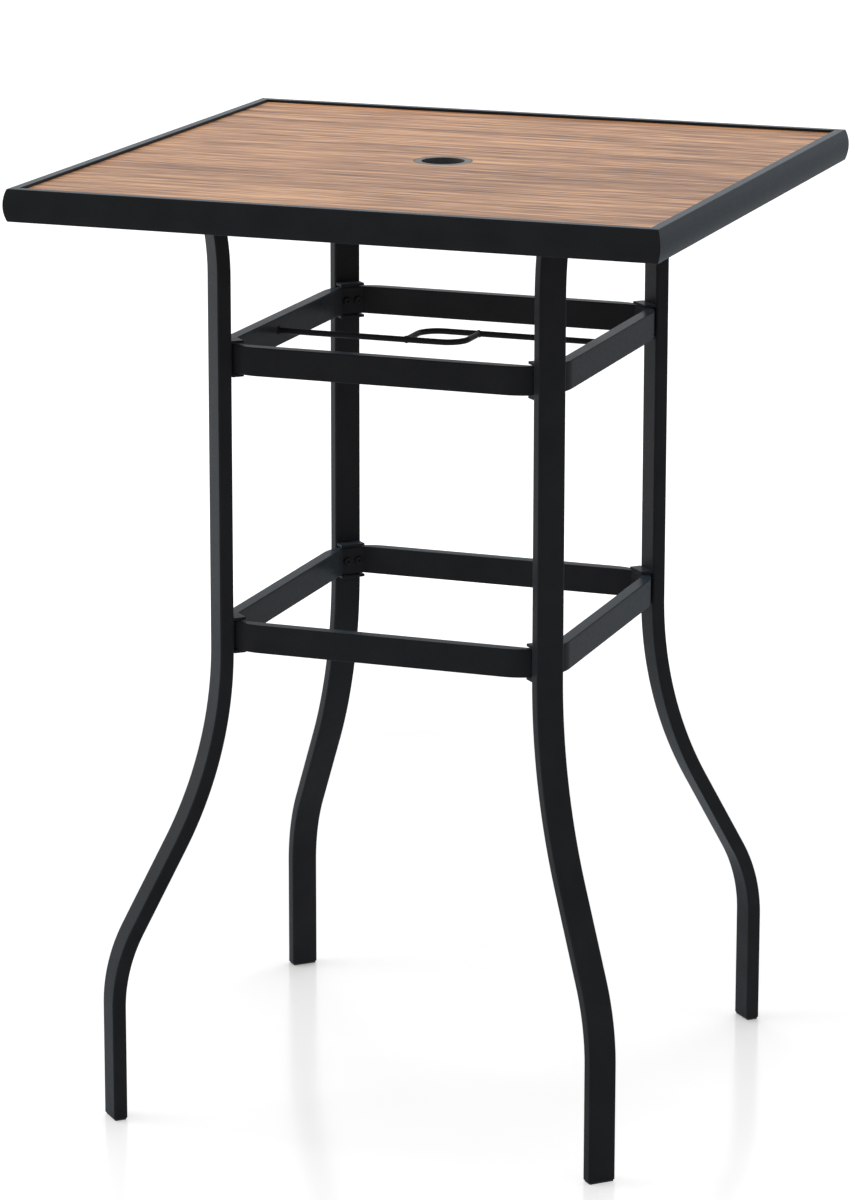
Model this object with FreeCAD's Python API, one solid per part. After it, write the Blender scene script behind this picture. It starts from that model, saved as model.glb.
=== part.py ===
import FreeCAD, Part
import math
import os

# Square pub table: a wood-grain panel in a mitred frame, four bent tube legs, two stretcher
# rings held in channel brackets, and two rods that close a loop for an umbrella pole.
# Millimetres. The origin is on the floor under the table's middle, with +Z up and -Y to the front.

# Whole table
table_width = 700.0
table_height = 1015.0

# Frame round the top: hollow rails with a swelled outer face, a flat lip and a ledge for the panel
rail_height = 34.0
rail_bulge = 3.4
rail_wall = 1.5
rail_edge_radius = 1.2
lip_width = 10.0
lip_inner_radius = 0.5
ledge_depth = 9.0
ledge_thickness = 2.0

# Panel, which drops into the frame
panel_thickness = 8.0
panel_recess = 3.0
panel_play = 0.3
panel_edge_radius = 0.6

# Angles inside the rails, across each mitre
key_arm = 40.0
key_play = 0.2

# Screws up through the ledge into the panel
panel_screw_clearance = 40.62
panel_screw_radius = 1.75
panel_screw_bite = 5.0
panel_screw_head_radius = 3.4
panel_screw_head_height = 2.0

# Liner of the pole hole
pole_hole_radius = 23.0
liner_wall = 2.5
liner_flange_radius = 31.0
liner_flange_thickness = 1.6
liner_tail = 8.0
liner_edge_radius = 0.5

# Flat tubes under the panel, which carry the leg tops
bar_width = 40.0
bar_height = 16.0
bar_wall = 1.5
bar_edge_radius = 2.0

# Tube of the legs
tube_width = 28.0
tube_thickness = 13.0
tube_wall = 1.2
tube_corner_radius = 1.4
tube_inner_corner_share = 0.5

# Bends of a leg, in its own upright plane along the table's diagonal
leg_offset = 257.5
leg_spread = 128.0
knee_drop = 13.25
foot_bend_radius = 170.0
slant_length = 101.0
knee_bend_radius = 430.0
flare_height = 76.0
flare_radius = 285.0

# Plates on the leg tops, with their bolts
plate_width = 36.0
plate_length = 66.0
plate_thickness = 3.0
plate_corner_radius = 5.0
plate_bolt_spacing = 47.0
plate_bolt_radius = 3.0
plate_bolt_head_radius = 5.2
plate_bolt_head_height = 3.2
plate_bolt_socket = 4.0
plate_insert_radius = 4.5
plate_insert_length = 10.0

# Plugs in the feet
plug_flange = 2.5
plug_depth = 18.0
plug_wall = 2.2
plug_edge_radius = 0.8

# Stretcher rings, bent from a slightly larger tube and pressed flat inside at each corner
upper_ring_drop = 194.3
lower_ring_height = 522.2
ring_tube_height = 30.5
ring_tube_thickness = 14.5
ring_corner_radius = 55.0
ring_fold_radius = 3.0
ring_flat_margin = 0.2

# Channel brackets that hold the ring corners
bracket_sheet = 3.0
bracket_depth = 15.0
bracket_play = 1.1
bracket_web_margin = 1.1

# Screws through the ring corners into the legs
ring_screw_spacing_share = 0.48
ring_screw_radius = 2.5
ring_screw_head_radius = 4.4
ring_screw_head_height = 2.6
ring_screw_socket = 3.0
ring_insert_radius = 3.4
ring_insert_length = 8.0

# Umbrella rods
rod_radius = 3.25
rod_half_gap = 29.0
rod_hook_reach = 31.0
rod_bend_radius = 23.0
rod_lift = 1.5

# Fits shared by the small pieces
thread_play = 0.1
hole_play = 0.3
plug_play = 0.15
cope_play = 0.05
socket_depth_share = 0.6
dome_radius_share = 0.45
overrun = 5.0
same_place = 0.05

# Places that follow from the sizes above
half_width = table_width / 2
lip_outer = half_width - rail_bulge
lip_inner = lip_outer - lip_width
rail_bottom = table_height - rail_height
rail_middle = table_height - rail_height / 2
panel_top = table_height - panel_recess
ledge_top = panel_top - panel_thickness
ledge_bottom = ledge_top - ledge_thickness
ledge_middle = lip_inner - ledge_depth / 2
bar_bottom = ledge_top - bar_height
leg_top = bar_bottom - plate_thickness
flare_start = leg_top - flare_height
upper_ring_height = table_height - upper_ring_drop
leg_foot = leg_offset + leg_spread
leg_inner_face = leg_offset - tube_thickness / 2
leg_top_reach = leg_offset + flare_radius - math.sqrt(flare_radius ** 2 - flare_height ** 2)
leg_top_offset = leg_top_reach / math.sqrt(2)
panel_screw_place = leg_top_offset + bar_width / 2 + panel_screw_clearance
ring_apex = leg_inner_face - bracket_sheet
ring_corner_centre = (ring_apex - ring_corner_radius) / math.sqrt(2)
ring_half = ring_corner_centre + ring_corner_radius
ring_inner_half = ring_half - ring_tube_thickness
ring_screw_spacing = tube_width * ring_screw_spacing_share
ring_flat_half = ring_screw_spacing / 2 + ring_screw_head_radius + ring_flat_margin
ring_fold_trim = ring_fold_radius * math.tan(math.pi / 8)
ring_flat_reach = ring_inner_half * math.sqrt(2) - ring_flat_half - ring_fold_trim
rod_height = upper_ring_height + rod_lift

# A leg's knee bend ends just under the lower ring. The lean of its slanted run and the rise of
# its foot follow from that height, the spread, the two bend radii and the run's length.
both_bends = foot_bend_radius + knee_bend_radius
bends_height = math.sqrt(both_bends ** 2 + slant_length ** 2 - (both_bends - leg_spread) ** 2)
leg_lean = math.atan2(bends_height, both_bends - leg_spread) - math.atan2(slant_length, both_bends)
foot_rise = lower_ring_height - knee_drop - bends_height

CORNERS = {"back_right": 45, "back_left": 135, "front_left": 225, "front_right": 315}
SIDES = {"right": 0, "back": 90, "left": 180, "front": 270}
UP = FreeCAD.Vector(0, 0, 1)
ORIGIN = FreeCAD.Vector(0, 0, 0)


def point(x, y, z):
    """Vector of three places."""
    return FreeCAD.Vector(x, y, z)


def turned(shape, angle):
    """Copy of a shape, turned about the table's axis."""
    copy = shape.copy()
    copy.rotate(ORIGIN, UP, angle)
    return copy


def moved(shape, x, y, z):
    """Copy of a shape, moved."""
    copy = shape.copy()
    copy.translate(point(x, y, z))
    return copy


def save(node, *solids):
    """Write one node, as a single solid or as a group of like solids."""
    shape = solids[0] if len(solids) == 1 else Part.makeCompound(list(solids))
    shape.exportStep("parts/" + node + ".step")


def rounded_outline(size_x, size_y, radius):
    """Closed wire of a rectangle with round corners, centred on the origin of the XY plane."""
    reach_x = size_x / 2 - radius
    reach_y = size_y / 2 - radius
    edges = []
    last = None
    first = None
    for quarter, (side_x, side_y) in enumerate(((1, 1), (-1, 1), (-1, -1), (1, -1))):
        on_arc = []
        for part in (0, 1, 2):
            angle = math.radians(90 * quarter + 45 * part)
            x = side_x * reach_x + radius * math.cos(angle)
            y = side_y * reach_y + radius * math.sin(angle)
            on_arc.append(point(x, y, 0))
        if last is None:
            first = on_arc[0]
        else:
            edges.append(Part.LineSegment(last, on_arc[0]).toShape())
        edges.append(Part.Arc(*on_arc).toShape())
        last = on_arc[2]
    edges.append(Part.LineSegment(last, first).toShape())
    return Part.Wire(edges)


def rounded_block(size_x, size_y, radius, height):
    """Upright prism of a rounded rectangle, standing on the XY plane."""
    return Part.Face(rounded_outline(size_x, size_y, radius)).extrude(point(0, 0, height))


def swept(path, section, binormal):
    """Solid of a section carried along a flat path."""
    pipe = Part.BRepOffsetAPI.MakePipeShell(path)
    pipe.setBiNormalMode(binormal)
    pipe.add(section)
    pipe.build()
    pipe.makeSolid()
    return pipe.shape()


def turned_profile(points):
    """Solid turned about the Z axis from corner points of radius and height."""
    outline = [point(radius, 0, height) for radius, height in points]
    face = Part.Face(Part.makePolygon(outline + outline[:1]))
    return face.revolve(ORIGIN, UP, 360)


def hexagon(across_flats, depth):
    """Upright hexagonal prism from the XY plane, for a socket."""
    corner = across_flats / math.sqrt(3)
    ring = []
    for step in range(7):
        angle = math.radians(60 * step)
        ring.append(point(corner * math.cos(angle), corner * math.sin(angle), 0))
    return Part.Face(Part.makePolygon(ring)).extrude(point(0, 0, depth))


def button_screw(shank_radius, shank_length, head_radius, head_height, socket):
    """Button-head socket screw, shank up from the XY plane and head below it."""
    dome = head_height * dome_radius_share
    head = Part.makeCylinder(head_radius, head_height, point(0, 0, -head_height))
    rim = [edge for edge in head.Edges if edge.BoundBox.ZMax < -head_height / 2]
    head = head.makeFillet(dome, rim)
    recess = hexagon(socket, head_height * socket_depth_share)
    head = head.cut(moved(recess, 0, 0, -head_height))
    return head.fuse(Part.makeCylinder(shank_radius, shank_length)).removeSplitter()


def threaded_insert(radius, bore_radius, length):
    """Plain threaded insert, standing on the XY plane."""
    return Part.makeCylinder(radius, length).cut(Part.makeCylinder(bore_radius, length))


def level_edges(shape):
    """Edges of a shape that lie level."""
    return [edge for edge in shape.Edges if edge.BoundBox.ZLength < same_place]


def to_radial(shape, across, height, out):
    """Copy of a shape built along +Z, laid along the leg's outward direction."""
    copy = shape.copy()
    copy.rotate(ORIGIN, point(0, 1, 0), 90)
    copy.translate(point(out, across, height))
    return copy


# Frame rails: one section, swelled on the outside, hollow, with the ledge on the inside.
# Each rail is cut at its ends by the two upright planes through the table's diagonals.
def rail_solid():
    swell = (rail_height ** 2 / 4 + rail_bulge ** 2) / (2 * rail_bulge)
    swell_centre = half_width - swell
    chamber_reach = swell - rail_wall
    chamber_top = rail_height / 2 - rail_wall
    chamber_outer = swell_centre + math.sqrt(chamber_reach ** 2 - chamber_top ** 2)
    chamber_inner = lip_inner + rail_wall

    def outline(corners, bulge_from, bulge_through, bulge_to):
        places = [point(x, -half_width, z) for x, z in corners]
        edges = [Part.makeLine(a, b) for a, b in zip(places, places[1:])]
        arc = [point(x, -half_width, z) for x, z in (bulge_from, bulge_through, bulge_to)]
        edges.append(Part.Arc(*arc).toShape())
        return Part.Face(Part.Wire(Part.__sortEdges__(edges)))

    skin = outline(
        [
            (lip_outer, rail_bottom),
            (lip_inner, rail_bottom),
            (lip_inner, ledge_bottom),
            (lip_inner - ledge_depth, ledge_bottom),
            (lip_inner - ledge_depth, ledge_top),
            (lip_inner, ledge_top),
            (lip_inner, table_height),
            (lip_outer, table_height),
        ],
        (lip_outer, table_height),
        (half_width, rail_middle),
        (lip_outer, rail_bottom),
    )
    chamber = outline(
        [
            (chamber_outer, rail_middle - chamber_top),
            (chamber_inner, rail_middle - chamber_top),
            (chamber_inner, rail_middle + chamber_top),
            (chamber_outer, rail_middle + chamber_top),
        ],
        (chamber_outer, rail_middle + chamber_top),
        (half_width - rail_wall, rail_middle),
        (chamber_outer, rail_middle - chamber_top),
    )
    along = point(0, table_width, 0)
    bar = skin.extrude(along)

    def edges_at(x, z):
        found = []
        for edge in bar.Edges:
            middle = edge.BoundBox.Center
            near = math.hypot(middle.x - x, middle.z - z) < same_place
            if near and edge.BoundBox.YLength > half_width:
                found.append(edge)
        return found

    outer_edges = edges_at(lip_outer, table_height) + edges_at(lip_outer, rail_bottom)
    bar = bar.makeFillet(rail_edge_radius, outer_edges)
    bar = bar.makeFillet(lip_inner_radius, edges_at(lip_inner, table_height))
    bar = bar.cut(chamber.extrude(along))
    reach = half_width + overrun
    mitre = [point(0, 0, rail_bottom - overrun), point(reach, -reach, rail_bottom - overrun)]
    mitre += [point(reach, reach, rail_bottom - overrun), mitre[0]]
    wedge = Part.Face(Part.makePolygon(mitre)).extrude(point(0, 0, rail_height + 2 * overrun))
    bar = bar.common(wedge)
    for end in (-1, 1):
        hole = Part.makeCylinder(panel_screw_radius + hole_play, ledge_thickness + 2 * overrun)
        bar = bar.cut(moved(hole, ledge_middle, end * panel_screw_place, ledge_bottom - overrun))
    return bar, chamber_inner, chamber_outer


# Corner keys: square-cornered angles that fill the straight part of both hollow rails.
def key_solid(chamber_inner, chamber_outer):
    inner = chamber_inner + key_play
    outer = chamber_outer - key_play
    end = outer - key_arm
    bottom = rail_bottom + rail_wall + key_play
    height = rail_height - 2 * (rail_wall + key_play)
    plan = [(outer, outer), (end, outer), (end, inner), (inner, inner), (inner, end), (outer, end)]
    places = [point(x, y, bottom) for x, y in plan]
    return Part.Face(Part.makePolygon(places + places[:1])).extrude(point(0, 0, height))


# Panel: drops in from above, holed for the pole liner, whose flange lies flush in it.
def panel_solid():
    side = 2 * (lip_inner - panel_play)
    panel = Part.makeBox(side, side, panel_thickness, point(-side / 2, -side / 2, ledge_top))
    rim = [edge for edge in level_edges(panel) if edge.BoundBox.ZMax > panel_top - panel_thickness / 2]
    panel = panel.makeFillet(panel_edge_radius, rim)
    sleeve = pole_hole_radius + liner_wall + panel_play
    panel = panel.cut(Part.makeCylinder(sleeve, panel_thickness, point(0, 0, ledge_top)))
    seat_floor = panel_top - liner_flange_thickness
    seat = Part.makeCylinder(liner_flange_radius + panel_play, panel_thickness, point(0, 0, seat_floor))
    panel = panel.cut(seat)
    for angle in SIDES.values():
        for end in (-1, 1):
            pilot = Part.makeCylinder(panel_screw_radius + thread_play, panel_screw_bite)
            pilot = moved(pilot, ledge_middle, end * panel_screw_place, ledge_top)
            panel = panel.cut(turned(pilot, angle))
    return panel


# Liner: a flanged sleeve that lines the pole hole and hangs a little below the panel.
def liner_solid():
    sleeve = pole_hole_radius + liner_wall
    bottom = ledge_top - liner_tail
    seat_floor = panel_top - liner_flange_thickness
    liner = turned_profile(
        [
            (pole_hole_radius, bottom),
            (sleeve, bottom),
            (sleeve, seat_floor),
            (liner_flange_radius, seat_floor),
            (liner_flange_radius, panel_top),
            (pole_hole_radius, panel_top),
        ]
    )
    rim = []
    for edge in level_edges(liner):
        wide = edge.BoundBox.XLength > 2 * liner_flange_radius - same_place
        if wide and edge.BoundBox.ZMax > panel_top - same_place:
            rim.append(edge)
    return liner.makeFillet(liner_edge_radius, rim)


# Panel screws: pan heads under the ledge.
def panel_screw():
    top = ledge_thickness + panel_screw_bite
    return turned_profile(
        [
            (0, -panel_screw_head_height),
            (panel_screw_head_radius, -panel_screw_head_height * dome_radius_share),
            (panel_screw_head_radius, 0),
            (panel_screw_radius, 0),
            (panel_screw_radius, top - panel_screw_radius),
            (0, top),
        ]
    )


# Cross bars: flat tubes from the front rail to the back rail, notched over the ledges.
def bar_solid(offset):
    length = 2 * lip_inner
    bar = Part.makeBox(bar_width, length, bar_height, point(offset - bar_width / 2, -lip_inner, bar_bottom))
    long_edges = [edge for edge in bar.Edges if edge.BoundBox.YLength > lip_inner]
    bar = bar.makeFillet(bar_edge_radius, long_edges)
    hollow_width = bar_width - 2 * bar_wall
    hollow_height = bar_height - 2 * bar_wall
    hollow_place = point(offset - hollow_width / 2, -lip_inner, bar_bottom + bar_wall)
    bar = bar.cut(Part.makeBox(hollow_width, length, hollow_height, hollow_place))
    notch = ledge_depth + panel_play
    for end in (-1, 1):
        low = -lip_inner if end < 0 else lip_inner - notch
        place = point(offset - bar_width / 2, low, ledge_bottom - panel_play)
        bar = bar.cut(Part.makeBox(bar_width, notch, ledge_thickness + 2 * panel_play, place))
        for bolt in (-1, 1):
            hole = Part.makeCylinder(plate_insert_radius + thread_play, bar_wall + overrun + same_place)
            spot = end * abs(offset) + bolt * plate_bolt_spacing / 2
            bar = bar.cut(moved(hole, offset, spot, bar_bottom - overrun))
    return bar


# Legs: a rounded rectangular tube swept along an upright path of lines and tangent arcs.
def leg_path():
    def arc(centre_x, centre_z, radius, start, end):
        middle = (start + end) / 2
        on_arc = []
        for angle in (start, middle, end):
            on_arc.append(point(centre_x + radius * math.cos(angle), 0, centre_z + radius * math.sin(angle)))
        return on_arc

    foot_bend = arc(leg_foot - foot_bend_radius, foot_rise, foot_bend_radius, 0, leg_lean)
    slant = point(-slant_length * math.sin(leg_lean), 0, slant_length * math.cos(leg_lean))
    knee_start = foot_bend[2] + slant
    knee_x = leg_offset + knee_bend_radius
    knee_z = foot_rise + bends_height
    knee_bend = arc(knee_x, knee_z, knee_bend_radius, math.pi + leg_lean, math.pi)
    flare = math.asin((flare_height + tube_thickness) / flare_radius)
    flare_bend = arc(leg_offset + flare_radius, flare_start, flare_radius, math.pi, math.pi - flare)
    edges = [Part.makeLine(point(leg_foot, 0, -overrun), foot_bend[0])]
    edges.append(Part.Arc(*foot_bend).toShape())
    edges.append(Part.makeLine(foot_bend[2], knee_start))
    edges.append(Part.Arc(*knee_bend).toShape())
    edges.append(Part.makeLine(knee_bend[2], flare_bend[0]))
    edges.append(Part.Arc(*flare_bend).toShape())
    return Part.Wire(edges)


def leg_solid():
    path = leg_path()
    across = point(0, 1, 0)
    outer = rounded_outline(tube_thickness, tube_width, tube_corner_radius)
    inner_radius = tube_corner_radius * tube_inner_corner_share
    inner = rounded_outline(tube_thickness - 2 * tube_wall, tube_width - 2 * tube_wall, inner_radius)
    leg = swept(path, moved(outer, leg_foot, 0, -overrun), across)
    leg = leg.cut(swept(path, moved(inner, leg_foot, 0, -overrun), across))
    slab = Part.makeBox(table_width, table_width, leg_top - plug_flange, point(0, -half_width, plug_flange))
    leg = leg.common(slab)
    for height in (lower_ring_height, upper_ring_height):
        for side in (-1, 1):
            hole = Part.makeCylinder(ring_insert_radius + thread_play, tube_wall + overrun)
            leg = leg.cut(to_radial(hole, side * ring_screw_spacing / 2, height, leg_inner_face - overrun))
    return leg


# Leg plates: welded across the leg tops, bolted up into the cross bars.
def plate_solid(x, y):
    plate = rounded_block(plate_width, plate_length, plate_corner_radius, plate_thickness)
    plate = moved(plate, x, y, leg_top)
    for bolt in (-1, 1):
        hole = Part.makeCylinder(plate_bolt_radius + hole_play, plate_thickness + 2 * overrun)
        plate = plate.cut(moved(hole, x, y + bolt * plate_bolt_spacing / 2, leg_top - overrun))
    return plate


# Foot plugs: a flange the size of the tube and a hollow stem pressed up into it.
def plug_solid():
    flange = rounded_block(tube_thickness, tube_width, tube_corner_radius, plug_flange)
    rim = [edge for edge in level_edges(flange) if edge.BoundBox.ZMax < plug_flange / 2]
    flange = flange.makeFillet(plug_edge_radius, rim)
    trim = 2 * (tube_wall + plug_play)
    stem_radius = tube_corner_radius * tube_inner_corner_share
    stem = rounded_block(tube_thickness - trim, tube_width - trim, stem_radius, plug_depth)
    stem = moved(stem, 0, 0, plug_flange)
    hollow_trim = trim + 2 * plug_wall
    hollow_x = tube_thickness - hollow_trim
    hollow_y = tube_width - hollow_trim
    hollow_place = point(-hollow_x / 2, -hollow_y / 2, plug_flange + plug_wall)
    stem = stem.cut(Part.makeBox(hollow_x, hollow_y, plug_depth, hollow_place))
    return moved(flange.fuse(stem).removeSplitter(), leg_foot, 0, 0)


# Stretcher rings: a square of tube with round corners and one hollow all the way round. Inside,
# each corner is pressed flat across the diagonal, as wide as the two screw heads that bear on it.
def pressed_outline(inset):
    """Closed wire of the ring's inner side, drawn into the tube by an inset."""
    half_size = ring_inner_half + inset
    radius = ring_fold_radius + inset
    cut = (ring_flat_reach + inset) * math.sqrt(2) - half_size
    folds = []
    for quarter in range(4):
        turn = FreeCAD.Rotation(UP, 90 * quarter)
        folds += [turn.multVec(point(half_size, cut, 0)), turn.multVec(point(cut, half_size, 0))]
    arcs = []
    for i, fold in enumerate(folds):
        back = (folds[i - 1] - fold).normalize()
        ahead = (folds[(i + 1) % len(folds)] - fold).normalize()
        inward = (back + ahead).normalize()
        trim = radius * math.tan(math.pi / 8)
        middle = fold + inward * (radius / math.cos(math.pi / 8) - radius)
        arcs.append((fold + back * trim, middle, fold + ahead * trim))
    edges = []
    for i, arc in enumerate(arcs):
        edges.append(Part.makeLine(arcs[i - 1][2], arc[0]))
        edges.append(Part.Arc(*arc).toShape())
    return Part.Wire(edges)


def ring_band(inset, edge_radius):
    """Band of a ring's tube, drawn in by an inset on every side."""
    size = 2 * (ring_half - inset)
    outer = Part.Face(rounded_outline(size, size, ring_corner_radius - inset))
    height = ring_tube_height - 2 * inset
    band = outer.cut(Part.Face(pressed_outline(inset))).extrude(point(0, 0, height))
    band = band.makeFillet(edge_radius, level_edges(band))
    return moved(band, 0, 0, -height / 2)


def ring_solid(height):
    ring = ring_band(0, tube_corner_radius)
    ring = ring.cut(ring_band(tube_wall, tube_corner_radius * tube_inner_corner_share))
    for angle in CORNERS.values():
        for side in (-1, 1):
            length = 2 * ring_tube_thickness + 2 * overrun
            hole = Part.makeCylinder(ring_screw_radius + hole_play, length)
            hole = to_radial(hole, side * ring_screw_spacing / 2, 0, ring_apex + overrun - length)
            ring = ring.cut(turned(hole, angle))
    return moved(ring, 0, 0, height)


# Brackets: channels of bent sheet, web on the leg, a flange over and a flange under the ring. The
# web's edges are set back from the leg's sides, to leave room for the welds.
def bracket_solid(height):
    half_gap = ring_tube_height / 2 + bracket_play
    half_outside = half_gap + bracket_sheet
    tip = leg_inner_face - bracket_depth
    web = leg_inner_face - bracket_sheet
    profile = [
        (leg_inner_face, -half_outside),
        (leg_inner_face, half_outside),
        (tip, half_outside),
        (tip, half_gap),
        (web, half_gap),
        (web, -half_gap),
        (tip, -half_gap),
        (tip, -half_outside),
        (leg_inner_face, -half_outside),
    ]
    places = [point(x, -tube_width / 2, height + z) for x, z in profile]
    channel = Part.Face(Part.makePolygon(places)).extrude(point(0, tube_width, 0))
    folds = []
    for edge in channel.Edges:
        across = edge.BoundBox.YLength > tube_width / 2
        on_leg = edge.BoundBox.XMin > leg_inner_face - same_place
        if across and on_leg:
            folds.append(edge)
    channel = channel.makeFillet(bracket_sheet, folds)
    web_half = ring_screw_spacing / 2 + ring_screw_radius + hole_play + bracket_web_margin
    setback = tube_width / 2 - web_half
    for side in (-1, 1):
        hole = Part.makeCylinder(ring_screw_radius + hole_play, bracket_sheet + 2 * overrun)
        channel = channel.cut(to_radial(hole, side * ring_screw_spacing / 2, height, web - overrun))
        notch = Part.makeBox(bracket_sheet, setback, 2 * half_gap)
        edge = web_half if side > 0 else -tube_width / 2
        channel = channel.cut(moved(notch, web, edge, height - half_gap))
    return channel


# Ring screws: parallel to the diagonal, each head bearing on the flat inside the ring's corner.
def ring_screws(height):
    length = leg_inner_face + ring_insert_length - ring_flat_reach
    screw = button_screw(
        ring_screw_radius, length, ring_screw_head_radius, ring_screw_head_height, ring_screw_socket
    )
    return [
        turned(to_radial(screw, side * ring_screw_spacing / 2, height, ring_flat_reach), angle)
        for angle in CORNERS.values()
        for side in (-1, 1)
    ]


def ring_inserts(height):
    insert = threaded_insert(ring_insert_radius, ring_screw_radius + thread_play, ring_insert_length)
    return [
        turned(to_radial(insert, side * ring_screw_spacing / 2, height, leg_inner_face), angle)
        for angle in CORNERS.values()
        for side in (-1, 1)
    ]


# Umbrella rods: straight from a side rail past the middle, then hooked across onto the other rod.
def rod_solid():
    start = point(-ring_inner_half, -rod_half_gap, rod_height)
    bend_x = rod_hook_reach - rod_bend_radius
    bend_y = rod_bend_radius - rod_half_gap
    half_turn = rod_bend_radius * math.sqrt(0.5)
    bend = [
        point(bend_x, -rod_half_gap, rod_height),
        point(bend_x + half_turn, bend_y - half_turn, rod_height),
        point(rod_hook_reach, bend_y, rod_height),
    ]
    end = point(rod_hook_reach, rod_half_gap, rod_height)
    path = Part.Wire([Part.makeLine(start, bend[0]), Part.Arc(*bend).toShape(), Part.makeLine(bend[2], end)])
    section = Part.Wire(Part.makeCircle(rod_radius, start, point(1, 0, 0)))
    rod = swept(path, section, UP)
    other = Part.makeCylinder(
        rod_radius + cope_play, ring_half, point(0, rod_half_gap, rod_height), point(1, 0, 0)
    )
    beyond = Part.makeBox(
        2 * rod_bend_radius,
        2 * rod_bend_radius,
        2 * rod_bend_radius,
        point(rod_hook_reach - rod_bend_radius, rod_half_gap, rod_height - rod_bend_radius),
    )
    return rod.cut(other).cut(beyond)


os.makedirs("parts", exist_ok=True)

save("top_panel", panel_solid())
save("umbrella_liner", liner_solid())

rail, chamber_inner, chamber_outer = rail_solid()
for side, angle in SIDES.items():
    save(side + "_frame_rail", turned(rail, angle))

key = key_solid(chamber_inner, chamber_outer)
for corner, angle in CORNERS.items():
    save(corner + "_corner_key", turned(key, angle - 45))

screw = panel_screw()
screws = []
for angle in SIDES.values():
    for end in (-1, 1):
        placed = moved(screw, ledge_middle, end * panel_screw_place, ledge_bottom)
        screws.append(turned(placed, angle))
save("panel_screws", *screws)

save("left_cross_bar", bar_solid(-leg_top_offset))
save("right_cross_bar", bar_solid(leg_top_offset))

leg = leg_solid()
plug = plug_solid()
lower_bracket = bracket_solid(lower_ring_height)
upper_bracket = bracket_solid(upper_ring_height)
for corner, angle in CORNERS.items():
    save(corner + "_leg", turned(leg, angle))
    save(corner + "_foot_plug", turned(plug, angle))
    save(corner + "_lower_bracket", turned(lower_bracket, angle))
    save(corner + "_upper_bracket", turned(upper_bracket, angle))

bolt_length = plate_thickness + plate_insert_length
bolt = button_screw(
    plate_bolt_radius, bolt_length, plate_bolt_head_radius, plate_bolt_head_height, plate_bolt_socket
)
insert = threaded_insert(plate_insert_radius, plate_bolt_radius + thread_play, plate_insert_length)
bolts = []
inserts = []
for corner, angle in CORNERS.items():
    x = math.copysign(leg_top_offset, math.cos(math.radians(angle)))
    y = math.copysign(leg_top_offset, math.sin(math.radians(angle)))
    save(corner + "_leg_plate", plate_solid(x, y))
    for end in (-1, 1):
        spot = y + end * plate_bolt_spacing / 2
        bolts.append(moved(bolt, x, spot, leg_top))
        inserts.append(moved(insert, x, spot, bar_bottom))
save("leg_plate_bolts", *bolts)
save("leg_plate_inserts", *inserts)

for level, height in (("lower", lower_ring_height), ("upper", upper_ring_height)):
    save(level + "_ring", ring_solid(height))
    save(level + "_ring_screws", *ring_screws(height))
    save(level + "_ring_inserts", *ring_inserts(height))

rod = rod_solid()
save("left_umbrella_rod", rod)
save("right_umbrella_rod", turned(rod, 180))
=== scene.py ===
import math
import random

import bmesh
import bpy
from mathutils import Matrix, Vector


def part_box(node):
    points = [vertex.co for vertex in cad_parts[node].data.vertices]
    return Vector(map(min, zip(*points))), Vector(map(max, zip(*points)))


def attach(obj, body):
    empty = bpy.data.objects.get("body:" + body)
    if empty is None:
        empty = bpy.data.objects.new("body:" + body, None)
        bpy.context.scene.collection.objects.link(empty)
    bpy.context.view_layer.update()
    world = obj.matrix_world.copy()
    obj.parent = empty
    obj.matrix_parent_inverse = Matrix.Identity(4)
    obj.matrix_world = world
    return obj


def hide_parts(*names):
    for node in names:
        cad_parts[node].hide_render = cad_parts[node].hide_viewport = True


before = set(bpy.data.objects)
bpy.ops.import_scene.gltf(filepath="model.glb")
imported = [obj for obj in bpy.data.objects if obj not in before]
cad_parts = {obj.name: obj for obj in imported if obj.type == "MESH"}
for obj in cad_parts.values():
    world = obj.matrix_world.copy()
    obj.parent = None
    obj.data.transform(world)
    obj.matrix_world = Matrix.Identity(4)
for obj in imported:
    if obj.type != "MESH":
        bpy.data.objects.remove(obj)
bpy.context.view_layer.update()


# Legs: four steel tubes of rounded rectangular section, each bent cold in one upright plane.
# They flare a little under the top, run straight past both rings and sweep out in an S-bend to an
# upright foot. The black powder coat is baked on after welding and has a fine sandy grain.
corners = {"back_right": 45, "back_left": 135, "front_left": 225, "front_right": 315}
tube_width = 0.028
tube_thickness = 0.013
tube_corner = 0.0014
tube_wall = 0.0012
leg_offset = 0.2575
leg_spread = 0.128
leg_foot = leg_offset + leg_spread
leg_low, leg_top = (spot.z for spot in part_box("front_left_leg"))
ring_heights = {}
for level in ("lower", "upper"):
    ring_heights[level] = sum(spot.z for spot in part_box(level + "_ring")) / 2
foot_bend = 0.170
knee_bend = 0.430
slant_run = 0.101
knee_drop = 0.01325
flare_bend = 0.285
flare_height = 0.076
bend_step = 0.004
least_arc_steps = 6
corner_steps = 5
crease_angle = math.radians(35)
grit_noise = (1250.0, 3.0, 0.6)
peel_noise = (340.0, 1.0)
film_noise = (26.0, 2.0)
grit_shade, film_shade = 0.6, 0.4
grit_height, peel_height = 0.65, 0.35
coat_tints = [(0.36, (0.0206, 0.0219, 0.0239)), (0.64, (0.0280, 0.0295, 0.0321))]
coat_roughness = (0.35, 0.65, 0.20, 0.30)
coat_gloss = 0.016
coat_sheen = 0.14
coat_sheen_roughness = 0.35
coat_sheen_tint = (0.42, 0.72, 1.0, 1.0)
coat_relief = (0.00004, 0.3)


def wire(tree, node, wires):
    """Give sockets of a node a value or another node's output each."""
    for socket, source in wires.items():
        if isinstance(source, bpy.types.NodeSocket):
            tree.links.new(source, node.inputs[socket])
        else:
            node.inputs[socket].default_value = source


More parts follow.
